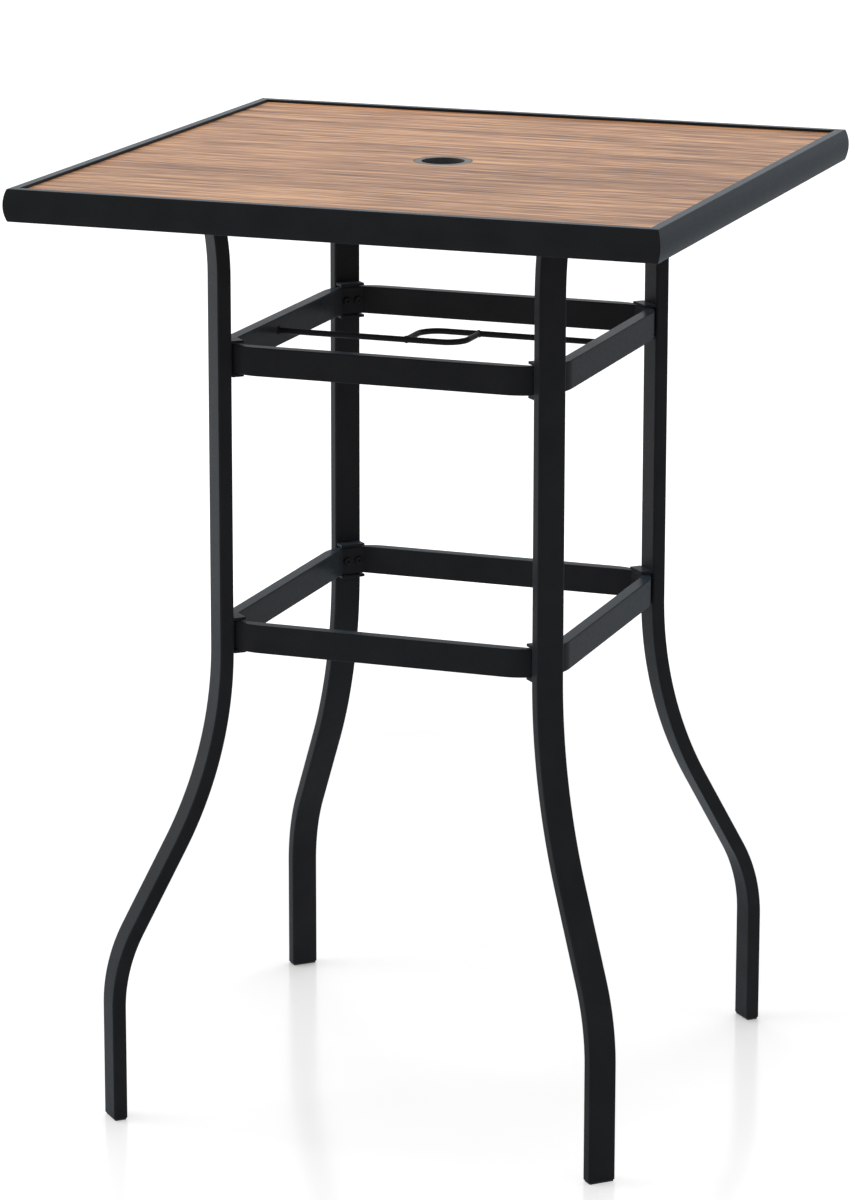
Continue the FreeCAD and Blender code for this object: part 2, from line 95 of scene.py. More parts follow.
def place(tree, kind, wires=None, **options):
    """Add a node: options are its own settings, and wires feed its sockets."""
    node = tree.nodes.new(kind)
    for option, choice in options.items():
        setattr(node, option, choice)
    wire(tree, node, wires or {})
    return node


def maths(tree, operation, *values):
    """Result of one operation on values."""
    return place(tree, "ShaderNodeMath", dict(enumerate(values)), operation=operation).outputs[0]


def new_finish(name):
    """Start a material: the material, its tree, its shader and the piece's own coordinates."""
    finish = bpy.data.materials.new(name)
    finish.use_nodes = True
    tree = finish.node_tree
    where = place(tree, "ShaderNodeTexCoord").outputs["Object"]
    return finish, tree, tree.nodes["Principled BSDF"], where


def noise(tree, where, scale, detail=2.0, roughness=0.5):
    """Noise value on the given coordinates; the scale is in lumps to the metre."""
    wires = {"Vector": where, "Scale": scale, "Detail": detail, "Roughness": roughness}
    return place(tree, "ShaderNodeTexNoise", wires).outputs["Fac"]


def sum_of(tree, first, first_share, second, second_share):
    """Weighted sum of two values."""
    part = maths(tree, "MULTIPLY", first, first_share)
    return maths(tree, "MULTIPLY_ADD", second, second_share, part)


def ranged(tree, value, low, high, to_low, to_high):
    """Value stretched from one range to another."""
    wires = {"Value": value, "From Min": low, "From Max": high}
    wires.update({"To Min": to_low, "To Max": to_high})
    return place(tree, "ShaderNodeMapRange", wires).outputs[0]


def ramp(tree, value, stops):
    """Colour of a value, from stops of place and colour."""
    node = place(tree, "ShaderNodeValToRGB", {"Fac": value})
    band = node.color_ramp
    while len(band.elements) < len(stops):
        band.elements.new(0.5)
    for element, (spot, colour) in zip(band.elements, stops):
        element.position = spot
        element.color = (*colour, 1.0)
    return node.outputs["Color"]


def relief(tree, height, depth, strength):
    """Surface normal that a height value bends; the depth is in metres."""
    wires = {"Height": height, "Distance": depth, "Strength": strength}
    return place(tree, "ShaderNodeBump", wires).outputs["Normal"]


powder_coat, tree, shader, where = new_finish("black_powder_coat")
grit = noise(tree, where, *grit_noise)
peel = noise(tree, where, *peel_noise)
film = noise(tree, where, *film_noise)
shade = sum_of(tree, grit, grit_shade, film, film_shade)
coat_height = sum_of(tree, grit, grit_height, peel, peel_height)
wire(tree, shader, {
    "Base Color": ramp(tree, shade, coat_tints),
    "Roughness": ranged(tree, shade, *coat_roughness),
    "Specular IOR Level": coat_gloss,
    "Sheen Weight": coat_sheen,
    "Sheen Roughness": coat_sheen_roughness,
    "Sheen Tint": coat_sheen_tint,
    "Normal": relief(tree, coat_height, *coat_relief),
})


def shape_tree(name, sizes):
    """Start a geometry tree: the tree and the sockets of its named inputs."""
    tree = bpy.data.node_groups.new(name, "GeometryNodeTree")
    tree.interface.new_socket("Guide", in_out="INPUT", socket_type="NodeSocketGeometry")
    for size, kind in sizes.items():
        tree.interface.new_socket(size, in_out="INPUT", socket_type="NodeSocket" + kind)
    tree.interface.new_socket("Shape", in_out="OUTPUT", socket_type="NodeSocketGeometry")
    return tree, tree.nodes.new("NodeGroupInput").outputs


def end_tree(tree, shape, finish):
    """Finish a geometry tree: real meshes with their material."""
    real = place(tree, "GeometryNodeRealizeInstances", {"Geometry": shape}).outputs[0]
    wires = {"Geometry": real, "Material": finish}
    coated = place(tree, "GeometryNodeSetMaterial", wires).outputs[0]
    place(tree, "NodeGroupOutput", {"Shape": coated})


def added(name, data):
    """New object of a mesh or curve, at the origin."""
    thing = bpy.data.objects.new(name, data)
    bpy.context.scene.collection.objects.link(thing)
    return thing


def plain_mesh(thing):
    """Plain mesh of an object with its modifiers."""
    graph = bpy.context.evaluated_depsgraph_get()
    return bpy.data.meshes.new_from_object(thing.evaluated_get(graph), depsgraph=graph)


def baked(name, guide, tree, sizes):
    """Piece that a geometry tree makes from a guide."""
    holder = bpy.data.objects.new(name + "_guide", guide)
    shape = holder.modifiers.new("shape", "NODES")
    shape.node_group = tree
    for socket in tree.interface.items_tree:
        if socket.in_out == "INPUT" and socket.name in sizes:
            shape[socket.identifier] = sizes[socket.name]
    bpy.context.scene.collection.objects.link(holder)
    mesh = plain_mesh(holder)
    bpy.data.objects.remove(holder)
    return added(name, mesh)


def finished(piece, slot, *stands_for):
    """Smooth a piece, keep its flats flat and its creases sharp, and set it on the frame."""
    piece.data.shade_smooth()
    piece.data.set_sharp_from_angle(angle=crease_angle)
    piece.modifiers.new("flats", "WEIGHTED_NORMAL").keep_sharp = True
    mesh = plain_mesh(piece)
    piece.modifiers.clear()
    piece.data = mesh
    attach(piece, "root")
    if stands_for:
        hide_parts(*stands_for)


def guide_curve(name, runs, closed=False):
    """Curve of straight steps through lists of points."""
    curve = bpy.data.curves.new(name, "CURVE")
    curve.dimensions = "3D"
    for run in runs:
        spline = curve.splines.new("POLY")
        spline.points.add(len(run) - 1)
        for spot, (x, y, z) in zip(spline.points, run):
            spot.co = (x, y, z, 1.0)
        spline.use_cyclic_u = closed
    return curve


def arc(centre_a, centre_b, radius, start, end, step=bend_step):
    """Points of an arc in a plane, start and end included."""
    count = max(least_arc_steps, math.ceil(abs(end - start) * radius / step))
    angles = [start + (end - start) * i / count for i in range(count + 1)]
    return [(centre_a + radius * math.cos(a), centre_b + radius * math.sin(a)) for a in angles]


def leg_line():
    """Middle line of a leg from the floor up, with X along the table's diagonal."""
    bends = foot_bend + knee_bend
    rise = math.sqrt(bends ** 2 + slant_run ** 2 - (bends - leg_spread) ** 2)
    lean = math.atan2(rise, bends - leg_spread) - math.atan2(slant_run, bends)
    knee_end = ring_heights["lower"] - knee_drop
    flare = math.asin((flare_height + tube_thickness) / flare_bend)
    flare_start = leg_top - flare_height
    line = [(leg_foot, leg_low)]
    line += arc(leg_foot - foot_bend, knee_end - rise, foot_bend, 0, lean)
    line += arc(leg_offset + knee_bend, knee_end, knee_bend, math.pi + lean, math.pi)
    line += arc(leg_offset + flare_bend, flare_start, flare_bend, math.pi, math.pi - flare)
    return [(x, 0.0, z) for x, z in line]


def swept(tree, given, section, capped=False):
    """Section drawn along the guide, then turned about the table's axis."""
    wires = {"Curve": given["Guide"], "Profile Curve": section, "Fill Caps": capped}
    drawn = place(tree, "GeometryNodeCurveToMesh", wires).outputs[0]
    wires = {"Axis": (0, 0, 1), "Angle": given["Turn"]}
    turn = place(tree, "FunctionNodeAxisAngleToRotation", wires).outputs[0]
    return place(tree, "GeometryNodeTransform", {"Geometry": drawn, "Rotation": turn}).outputs[0]


bent_tube, given = shape_tree(
    "bent_tube",
    {
        "Thickness": "Float",
        "Width": "Float",
        "Corner Radius": "Float",
        "Turn": "Float",
        "Finish": "Material",
    },
)
wires = {"Width": given["Thickness"], "Height": given["Width"]}
outline = place(bent_tube, "GeometryNodeCurvePrimitiveQuadrilateral", wires).outputs[0]
wires = {"Curve": outline, "Radius": given["Corner Radius"], "Count": corner_steps}
outline = place(bent_tube, "GeometryNodeFilletCurve", wires, mode="POLY").outputs[0]
end_tree(bent_tube, swept(bent_tube, given, outline), given["Finish"])

for corner, angle in corners.items():
    leg = baked(
        corner + "_leg_tube",
        guide_curve("leg_line", [leg_line()]),
        bent_tube,
        {
            "Thickness": tube_thickness,
            "Width": tube_width,
            "Corner Radius": tube_corner,
            "Turn": math.radians(angle),
            "Finish": powder_coat,
        },
    )
    shell = bmesh.new()
    shell.from_mesh(leg.data)
    whole = shell.verts[:] + shell.edges[:] + shell.faces[:]
    bmesh.ops.bisect_plane(
        shell, geom=whole, plane_co=(0, 0, leg_top), plane_no=(0, 0, 1), clear_outer=True
    )
    bmesh.ops.recalc_face_normals(shell, faces=shell.faces)
    shell.to_mesh(leg.data)
    shell.free()
    wall = leg.modifiers.new("wall", "SOLIDIFY")
    wall.thickness = tube_wall
    wall.offset = -1.0
    finished(leg, "black_powder_coat", corner + "_leg")


# Foot plugs: moulded black plastic, one pressed into the open end of each leg.
# The flange is as large as the tube and rounded below, and the stem grips inside the tube.
plug_edge = 0.0008
plug_play = 0.00015
plug_grip = tube_wall + plug_play
plug_stem = 0.018
least_corner_share = 0.25
spark_noise = (900.0, 2.0)
flow_noise = (60.0, 3.0)
plastic_tints = [(0.3, (0.010, 0.010, 0.011)), (0.7, (0.019, 0.019, 0.020))]
plastic_roughness = (0.3, 0.7, 0.44, 0.58)
plastic_relief = (0.00004, 0.4)

black_plastic, tree, shader, where = new_finish("black_plastic")
spark = noise(tree, where, *spark_noise)
flow = noise(tree, where, *flow_noise)
wire(tree, shader, {
    "Base Color": ramp(tree, flow, plastic_tints),
    "Roughness": ranged(tree, spark, *plastic_roughness),
    "Normal": relief(tree, spark, *plastic_relief),
})


def skin(name, finish, *shells, joined=False):
    """Piece of closed shells, each of faces between loops of equally many points.

    The two end loops of a shell are capped, or joined to each other.
    """
    shell = bmesh.new()
    for loops in shells:
        rings = [[shell.verts.new(spot) for spot in loop] for loop in loops]
        pairs = list(zip(rings, rings[1:]))
        if joined:
            pairs.append((rings[-1], rings[0]))
        else:
            shell.faces.new(rings[0][::-1])
            shell.faces.new(rings[-1])
        for low, high in pairs:
            for i in range(len(low)):
                j = (i + 1) % len(low)
                shell.faces.new((low[i], low[j], high[j], high[i]))
    bmesh.ops.recalc_face_normals(shell, faces=shell.faces)
    mesh = bpy.data.meshes.new(name)
    shell.to_mesh(mesh)
    shell.free()
    mesh.materials.append(finish)
    return added(name, mesh)


def round_rectangle(size_x, size_y, radius, steps=6):
    """Points round a rectangle with round corners."""
    loop = []
    for quarter, (side_x, side_y) in enumerate(((1, 1), (-1, 1), (-1, -1), (1, -1))):
        for step in range(steps + 1):
            angle = math.radians(90 * (quarter + step / steps))
            x = side_x * (size_x / 2 - radius) + radius * math.cos(angle)
            y = side_y * (size_y / 2 - radius) + radius * math.sin(angle)
            loop.append((x, y))
    return loop


def soft_edge(radius, steps=4):
    """Steps round a rounded edge, as pairs of inset and rise from its sharp corner."""
    turns = [math.radians(90 * step / steps) for step in range(steps + 1)]
    return [(radius * (1 - math.sin(turn)), radius * (1 - math.cos(turn))) for turn in turns]


def tube_level(
    inset, height, x=0.0, y=0.0, size_x=tube_thickness, size_y=tube_width, radius=tube_corner
):
    """Level loop of a rounded rectangle, drawn in by an inset."""
    trimmed = max(radius - inset, radius * least_corner_share)
    loop = round_rectangle(size_x - 2 * inset, size_y - 2 * inset, trimmed)
    return [Vector((x + a, y + b, height)) for a, b in loop]


def turned(loops, angle):
    """Loops turned about the table's axis."""
    turn = Matrix.Rotation(math.radians(angle), 3, "Z")
    return [[turn @ Vector(spot) for spot in loop] for loop in loops]


plug_levels = [tube_level(inset, rise, leg_foot) for inset, rise in soft_edge(plug_edge)]
plug_levels.append(tube_level(0.0, leg_low, leg_foot))
plug_levels.append(tube_level(plug_grip, leg_low, leg_foot))
plug_levels.append(tube_level(plug_grip, leg_low + plug_stem, leg_foot))
for corner, angle in corners.items():
    plug = skin(corner + "_plug", black_plastic, turned(plug_levels, angle))
    finished(plug, "black_plastic", corner + "_foot_plug")


# Leg plates: flat steel plates with round corners, welded across the leg tops before coating.
# Each has two holes for the bolts that hold it up against a cross bar. The weld bead runs all the
# way round the tube's end, in the short even ripples that a welder's hand leaves.
plate_width = 0.036
plate_length = 0.066
plate_corner = 0.005
plate_edge = 0.0005
plate_bead = 0.0013
plate_weld_seed = 1.0
bead_points = 10
bead_step_share = 0.5
ripple_pitch_share = 1.5
ripple_depth = 0.12
hand_scale = 500.0
hand_detail = 1.0

weld_bead, given = shape_tree(
    "weld_bead",
    {
        "Bead Radius": "Float",
        "Step": "Float",
        "Ripple Pitch": "Float",
        "Ripple Depth": "Float",
        "Seed": "Float",
        "Finish": "Material",
    },
)
wires = {"Curve": given["Guide"], "Length": given["Step"]}
run = place(weld_bead, "GeometryNodeResampleCurve", wires, mode="LENGTH").outputs[0]
along = place(weld_bead, "GeometryNodeSplineParameter").outputs["Length"]
beat = maths(weld_bead, "DIVIDE", along, given["Ripple Pitch"])
wave = maths(weld_bead, "SINE", maths(weld_bead, "MULTIPLY", beat, math.tau))
wires = {"W": given["Seed"], "Scale": hand_scale, "Detail": hand_detail}
hand = place(weld_bead, "ShaderNodeTexNoise", wires, noise_dimensions="4D").outputs[0]
ripple = sum_of(weld_bead, wave, given["Ripple Depth"], hand, given["Ripple Depth"])
ripple = maths(weld_bead, "ADD", ripple, 1.0)
wires = {"Radius": given["Bead Radius"], "Resolution": bead_points}
section = place(weld_bead, "GeometryNodeCurvePrimitiveCircle", wires).outputs[0]
wires = {"Curve": run, "Profile Curve": section, "Scale": ripple, "Fill Caps": True}
bead = place(weld_bead, "GeometryNodeCurveToMesh", wires).outputs[0]
end_tree(weld_bead, bead, given["Finish"])


def welded(name, runs, radius, seed, closed=False):
    """Piece of weld beads along runs of points."""
    beads = baked(
        name,
        guide_curve(name + "_line", runs, closed),
        weld_bead,
        {
            "Bead Radius": radius,
            "Step": radius * bead_step_share,
            "Ripple Pitch": radius * ripple_pitch_share,
            "Ripple Depth": ripple_depth,
            "Seed": seed,
            "Finish": powder_coat,
        },
    )
    finished(beads, "black_powder_coat")


for corner in corners:
    low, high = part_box(corner + "_leg_plate")
    middle = (low + high) / 2
    levels = [(inset, low.z + rise) for inset, rise in soft_edge(plate_edge)]
    levels += [(inset, high.z - rise) for inset, rise in reversed(soft_edge(plate_edge))]
    loops = []
    for inset, height in levels:
        level = tube_level(
            inset, height, middle.x, middle.y, plate_width, plate_length, plate_corner
        )
        loops.append(level)
    plate = skin(corner + "_plate", powder_coat, loops)
    finished(plate, "black_powder_coat", corner + "_leg_plate")

flare_turn = math.asin(flare_height / flare_bend)
leg_top_reach = leg_offset + flare_bend * (1 - math.cos(flare_turn))
tube_end = tube_level(
    -plate_bead / 4,
    leg_top - plate_bead / 3,
    leg_top_reach,
    size_x=tube_thickness / math.cos(flare_turn),
)
runs = [turned([tube_end], angle)[0] for angle in corners.values()]
welded("leg_plate_welds", runs, plate_bead, plate_weld_seed, closed=True)


# Ring brackets: channels folded from steel sheet, web welded flat on the inside of the leg.
# One flange lies over the ring's corner and one under it, so the ring can't twist. The web's edges
# are set back from the leg's sides, and beads run along them and in the grooves of the two folds.
sheet = 0.003
bracket_depth = 0.015
bracket_play = 0.0011
ring_tube_height = 0.0305
web_half = 0.01062
fold_share = 0.9
sheet_tip = 0.0005
sheet_edge = 0.0003
sheet_edge_steps = 3
edge_bead = 0.0011
edge_weld_seed = 2.0
fold_bead = 0.0009
fold_weld_seed = 3.0
leg_face = leg_offset - tube_thickness / 2


def rounded_corners(points, radii, steps=5):
    """Flat outline with its corners rounded, each by its own radius."""
    outline = []
    for i, radius in enumerate(radii):
        spot = Vector(points[i])
        if radius == 0:
            outline.append(spot)
            continue
        back = (Vector(points[i - 1]) - spot).normalized()
        ahead = (Vector(points[(i + 1) % len(points)]) - spot).normalized()
        half = back.angle(ahead) / 2
        centre = spot + (back + ahead).normalized() * radius / math.sin(half)
        start = spot + back * radius / math.tan(half) - centre
        end = spot + ahead * radius / math.tan(half) - centre
        sweep = start.angle_signed(end)
        for step in range(steps + 1):
            outline.append(centre + Matrix.Rotation(-sweep * step / steps, 2) @ start)
    return outline


def drawn_in(outline, inset):
    """Flat outline moved inwards by an inset, whichever way round it runs."""
    area = sum(a.cross(b) for a, b in zip(outline, outline[1:] + outline[:1]))
    side = math.copysign(1.0, area)
    moved = []
    for i, spot in enumerate(outline):
        back = (spot - outline[i - 1]).normalized()
        ahead = (outline[(i + 1) % len(outline)] - spot).normalized()
        inward = Vector((-back.y - ahead.y, back.x + ahead.x)) * side
        moved.append(spot + inward * inset / (1 + back.dot(ahead)))
    return moved


half_gap = ring_tube_height / 2 + bracket_play
half_out = half_gap + sheet
tip = leg_face - bracket_depth
web = leg_face - sheet
flange = rounded_corners(
    [(leg_face, half_gap), (leg_face, half_out), (tip, half_out), (tip, half_gap)],
    [0, sheet * fold_share, sheet_tip, sheet_tip],
)
web_reach = half_gap + sheet / 2
web_sheet = [Vector(spot) for spot in ((leg_face, -web_reach), (leg_face, web_reach))]
web_sheet += [Vector((web, spot.y)) for spot in reversed(web_sheet)]


def sheet_loops(outline, half, height):
    """Loops of a bent sheet that lies across the leg, with its cut edges softened."""
    slices = [(inset, reach - half) for inset, reach in soft_edge(sheet_edge, sheet_edge_steps)]
    slices += [(inset, -across) for inset, across in reversed(slices)]
    loops = []
    for inset, across in slices:
        loops.append([Vector((x, across, height + z)) for x, z in drawn_in(outline, inset)])
    return loops


runs_at_edges = []
runs_at_folds = []
for level, height in ring_heights.items():
    shells = [sheet_loops(web_sheet, web_half, height)]
    for side in (-1, 1):
        outline = [Vector((x, side * z)) for x, z in flange]
        shells.append(sheet_loops(outline, tube_width / 2, height))
    for corner, angle in corners.items():
        channel = [turned(loops, angle) for loops in shells]
        bracket = skin(f"{corner}_{level}_channel", powder_coat, *channel)
        finished(bracket, "black_powder_coat", f"{corner}_{level}_bracket")
        for side in (-1, 1):
            across = side * (web_half + edge_bead / 4)
            ends = (height - half_gap, height + half_gap)
            run = [(leg_face - edge_bead / 4, across, end) for end in ends]
            runs_at_edges += turned([run], angle)
            rise = height + side * (half_out - fold_bead / 2)
            reach = tube_width / 2 - tube_corner
            run = [(leg_face - fold_bead / 3, end * reach, rise) for end in (-1, 1)]
            runs_at_folds += turned([run], angle)
welded("bracket_edge_welds", runs_at_edges, edge_bead, edge_weld_seed)
welded("bracket_fold_welds", runs_at_folds, fold_bead, fold_weld_seed)


# Stretcher rings: two squares bent from a slightly larger steel tube, which pull the four legs
# together, one near the top and one at the knee. Inside, each corner is pressed flat across the
# diagonal, just wide enough for the heads of two screws.
ring_corner = 0.055
ring_tube_thickness = 0.0145
ring_fold = 0.003
flat_half = 0.01132
fold_steps = 12
ring_edge_steps = 5
ring_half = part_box("upper_ring")[1].x
ring_inner = ring_half - ring_tube_thickness
flat_reach = ring_inner * math.sqrt(2) - flat_half - ring_fold * math.tan(math.pi / 8)


def pressed_square(half, reach, radius):
    """Points round a square with its corners pressed flat at a reach, and the folds rounded."""
    cut = reach * math.sqrt(2) - half
    trim = cut - radius * math.tan(math.pi / 8)
    corner = []
    for i in range(fold_steps):
        angle = math.radians(45 * i / (fold_steps - 1))
        x = half - radius + radius * math.cos(angle)
        corner.append(Vector((x, trim + radius * math.sin(angle))))
    corner += [Vector((y, x)) for x, y in reversed(corner)]
    turns = [Matrix.Rotation(math.radians(90 * quarter), 2) for quarter in range(4)]
    return [turn @ spot for turn in turns for spot in corner]


for level, height in ring_heights.items():
    low = height - ring_tube_height / 2
    high = height + ring_tube_height / 2
    edge = soft_edge(tube_corner, ring_edge_steps)
    climb = [(inset, low + rise) for inset, rise in edge]
    climb += [(inset, high - rise) for inset, rise in reversed(edge)]
    loops = []
    for inset, z in climb:
        size = 2 * (ring_half - inset)
        square = round_rectangle(size, size, ring_corner - inset, 2 * fold_steps - 1)
        loops.append([Vector((x, y, z)) for x, y in square])
    for inset, z in reversed(climb):
        square = pressed_square(ring_inner + inset, flat_reach + inset, ring_fold + inset)
        loops.append([Vector((x, y, z)) for x, y in square])
    ring = skin(level + "_ring_tube", powder_coat, loops, joined=True)
    finished(ring, "black_powder_coat", level + "_ring")


# Ring screws: black button-head machine screws with a hex socket, two at each corner of each ring.
# They run out along the diagonal through the ring and the bracket into zinc-plated steel inserts,
# which are pressed into the leg's wall.
screw_gap = 0.01344
screw_shank = 0.0025
screw_head = 0.0044
screw_rise = 0.0026
screw_socket = 0.003
screw_rim = 0.00015
insert_length = 0.008
dome_share = 0.45
socket_share = 0.6
dome_steps = 6
round_points = 48
screw_seed = 4
turning_noise = (2200.0, 2.0)
oil_noise = (130.0, 2.0)
screw_tints = [(0.3, (0.007, 0.007, 0.008)), (0.7, (0.014, 0.014, 0.015))]
screw_roughness = (0.3, 0.7, 0.26, 0.42)
screw_gloss = 0.12
screw_relief = (0.00002, 0.3)
spangle_noise = (300.0, 3.0)
pitting_noise = (1600.0, 1.0)
zinc_tints = [(0.3, (0.46, 0.47, 0.49)), (0.7, (0.60, 0.61, 0.62))]
zinc_roughness = (0.3, 0.7, 0.30, 0.45)
zinc_relief = (0.00002, 0.3)

black_screw, tree, shader, where = new_finish("black_screw")
turning = noise(tree, where, *turning_noise)
oil = noise(tree, where, *oil_noise)
wire(tree, shader, {
    "Base Color": ramp(tree, oil, screw_tints),
    "Roughness": ranged(tree, turning, *screw_roughness),
    "Specular IOR Level": screw_gloss,
    "Normal": relief(tree, turning, *screw_relief),
})

zinc_steel, tree, shader, where = new_finish("zinc_steel")
spangle = noise(tree, where, *spangle_noise)
pitting = noise(tree, where, *pitting_noise)
wire(tree, shader, {
    "Base Color": ramp(tree, spangle, zinc_tints),
    "Roughness": ranged(tree, spangle, *zinc_roughness),
    "Metallic": 1.0,
    "Normal": relief(tree, pitting, *zinc_relief),
})


def round_loop(height, reach, points=round_points):
    """Level loop about the Z axis; the reach is a radius, or a function of the angle."""
    loop = []
    for i in range(points):
        angle = math.tau * i / points
        radius = reach(angle) if callable(reach) else reach
        loop.append(Vector((radius * math.cos(angle), radius * math.sin(angle), height)))
    return loop


def hexagon(across_flats):
    """Reach of a hexagon at an angle."""
    def reach(angle):
        from_flat = (angle + math.pi / 6) % (math.pi / 3) - math.pi / 6
        return across_flats / 2 / math.cos(from_flat)
    return reach


def button_screw(name, shank, length, head, rise, socket, finish):
    """Button-head socket screw with its shank up along +Z and its head below."""
    loops = [round_loop(rise * (socket_share - 1), hexagon(socket))]
    loops.append(round_loop(screw_rim - rise, hexagon(socket)))
    loops.append(round_loop(-rise, hexagon(socket + 2 * screw_rim)))
    for inset, sink in soft_edge(rise * dome_share, dome_steps):
        loops.append(round_loop(sink - rise, head - inset))
    loops += [round_loop(0.0, head), round_loop(0.0, shank), round_loop(length, shank)]
    return skin(name, finish, loops)


def point_value(tree, name, kind):
    """Named value that each point of the guide carries."""
    node = place(tree, "GeometryNodeInputNamedAttribute", {"Name": name}, data_type=kind)
    return node.outputs[0]


screw_set, given = shape_tree("screw_set", {"Screw": "Object", "Finish": "Material"})
wires = {"Object": given["Screw"]}
screw_shape = place(screw_set, "GeometryNodeObjectInfo", wires).outputs["Geometry"]
axis = point_value(screw_set, "axis", "FLOAT_VECTOR")
spin = point_value(screw_set, "spin", "FLOAT")
wires = {"Axis": (0, 0, 1), "Angle": spin}
spun = place(screw_set, "FunctionNodeAxisAngleToRotation", wires).outputs[0]
wires = {"Rotation": spun, "Vector": axis}
aimed = place(screw_set, "FunctionNodeAlignRotationToVector", wires, axis="Z").outputs[0]
wires = {"Points": given["Guide"], "Instance": screw_shape, "Rotation": aimed}
driven = place(screw_set, "GeometryNodeInstanceOnPoints", wires).outputs[0]
end_tree(screw_set, driven, given["Finish"])


def driven_screws(name, screw, places, finish, seed):
    """Piece of like screws, each at a point, along an axis, turned as far as the driver left it."""
    guide = bpy.data.meshes.new(name + "_points")
    guide.from_pydata([spot for spot, _ in places], [], [])
    guide.attributes.new("axis", "FLOAT_VECTOR", "POINT")
    guide.attributes.new("spin", "FLOAT", "POINT")
    hand = random.Random(seed)
    for i, (_, direction) in enumerate(places):
        guide.attributes["axis"].data[i].vector = direction
        guide.attributes["spin"].data[i].value = hand.uniform(0, math.tau)
    screws = baked(name, guide, screw_set, {"Screw": screw, "Finish": finish})
    bpy.data.objects.remove(screw)
    return screws


screw_length = leg_face + insert_length - flat_reach
for level, height in ring_heights.items():
    places = []
    for angle in corners.values():
        for side in (-1, 1):
            seat_and_axis = [(flat_reach, side * screw_gap / 2, height), (1, 0, 0)]
            places += turned([seat_and_axis], angle)
    screw = button_screw(
        "ring_screw", screw_shank, screw_length, screw_head, screw_rise, screw_socket, black_screw
    )
    name = level + "_ring_button_screws"
    screws = driven_screws(name, screw, places, black_screw, screw_seed)
    finished(screws, "black_screws", level + "_ring_screws")
    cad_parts[level + "_ring_inserts"].material_slots[0].material = zinc_steel


# Umbrella rods: two round steel rods welded between the side rails of the upper ring.
# Each runs past the middle and hooks across onto the other, so that they close a loop round the
# pole. Small lumps of weld hold the ends to the rails and the hooks to the rods.
rod_radius = 0.00325
rod_gap = 0.029
hook_reach = 0.031
hook_bend = 0.023
rod_lift = 0.0015
rod_points = 24
hook_step = bend_step / 3
rail_bead = 0.0012
rail_weld_seed = 5.0
hook_bead = 0.0007
hook_weld_seed = 6.0

rod_sizes = {"Rod Radius": "Float", "Turn": "Float", "Finish": "Material"}
round_rod, given = shape_tree("round_rod", rod_sizes)
wires = {"Radius": given["Rod Radius"], "Resolution": rod_points}
section = place(round_rod, "GeometryNodeCurvePrimitiveCircle", wires).outputs[0]
end_tree(round_rod, swept(round_rod, given, section, capped=True), given["Finish"])

rod_height = ring_heights["upper"] + rod_lift
line = [(-ring_inner, -rod_gap)]
line += arc(hook_reach - hook_bend, hook_bend - rod_gap, hook_bend, -math.pi / 2, 0, hook_step)
line.append((hook_reach, rod_gap - rod_radius / 2))
rod_line = [(x, y, rod_height) for x, y in line]
round_turns = [math.tau * i / rod_points for i in range(rod_points)]
rail_run = []
hook_run = []
for a in round_turns:
    reach = rod_radius + rail_bead / 4
    rail_run.append((-ring_inner, reach * math.cos(a) - rod_gap, rod_height + reach * math.sin(a)))
    reach = rod_radius + hook_bead / 4
    dip = rod_gap - reach * abs(math.cos(a))
    hook_run.append((hook_reach + reach * math.cos(a), dip, rod_height + reach * math.sin(a)))
rail_runs = []
hook_runs = []
for side, angle in (("left", 0), ("right", 180)):
    rod = baked(
        side + "_hooked_rod",
        guide_curve("rod_line", [rod_line]),
        round_rod,
        {"Rod Radius": rod_radius, "Turn": math.radians(angle), "Finish": powder_coat},
    )
    finished(rod, "black_powder_coat", side + "_umbrella_rod")
    rail_runs += turned([rail_run], angle)
    hook_runs += turned([hook_run], angle)
welded("rod_rail_welds", rail_runs, rail_bead, rail_weld_seed, closed=True)
welded("rod_hook_welds", hook_runs, hook_bead, hook_weld_seed, closed=True)


# Frame rails: four lengths of one hollow steel section, swelled on the outside and flat on top,
# with a ledge inside for the panel. They meet in mitres, which show as a fine dark line, and an
# angle of cast aluminium inside each corner holds the two rails together.
sides = {"right": 0, "back": 90, "left": 180, "front": 270}
rail_bulge = 0.0034
rail_edge = 0.0012
lip_width = 0.010
lip_edge = 0.0005
ledge_depth = 0.009
ledge_thickness = 0.002
panel_recess = 0.003
panel_thickness = 0.008
seam = 0.00025
seam_share = 0.9
bulge_steps = 20
sand_noise = (700.0, 3.0)
cast_tints = [(0.3, (0.44, 0.44, 0.44)), (0.7, (0.60, 0.60, 0.61))]
cast_roughness = (0.3, 0.7, 0.45, 0.62)
cast_relief = (0.00008, 0.5)

cast_aluminium, tree, shader, where = new_finish("cast_aluminium")
sand = noise(tree, where, *sand_noise)
wire(tree, shader, {
    "Base Color": ramp(tree, sand, cast_tints),
    "Roughness": ranged(tree, sand, *cast_roughness),
    "Metallic": 1.0,
    "Normal": relief(tree, sand, *cast_relief),
})

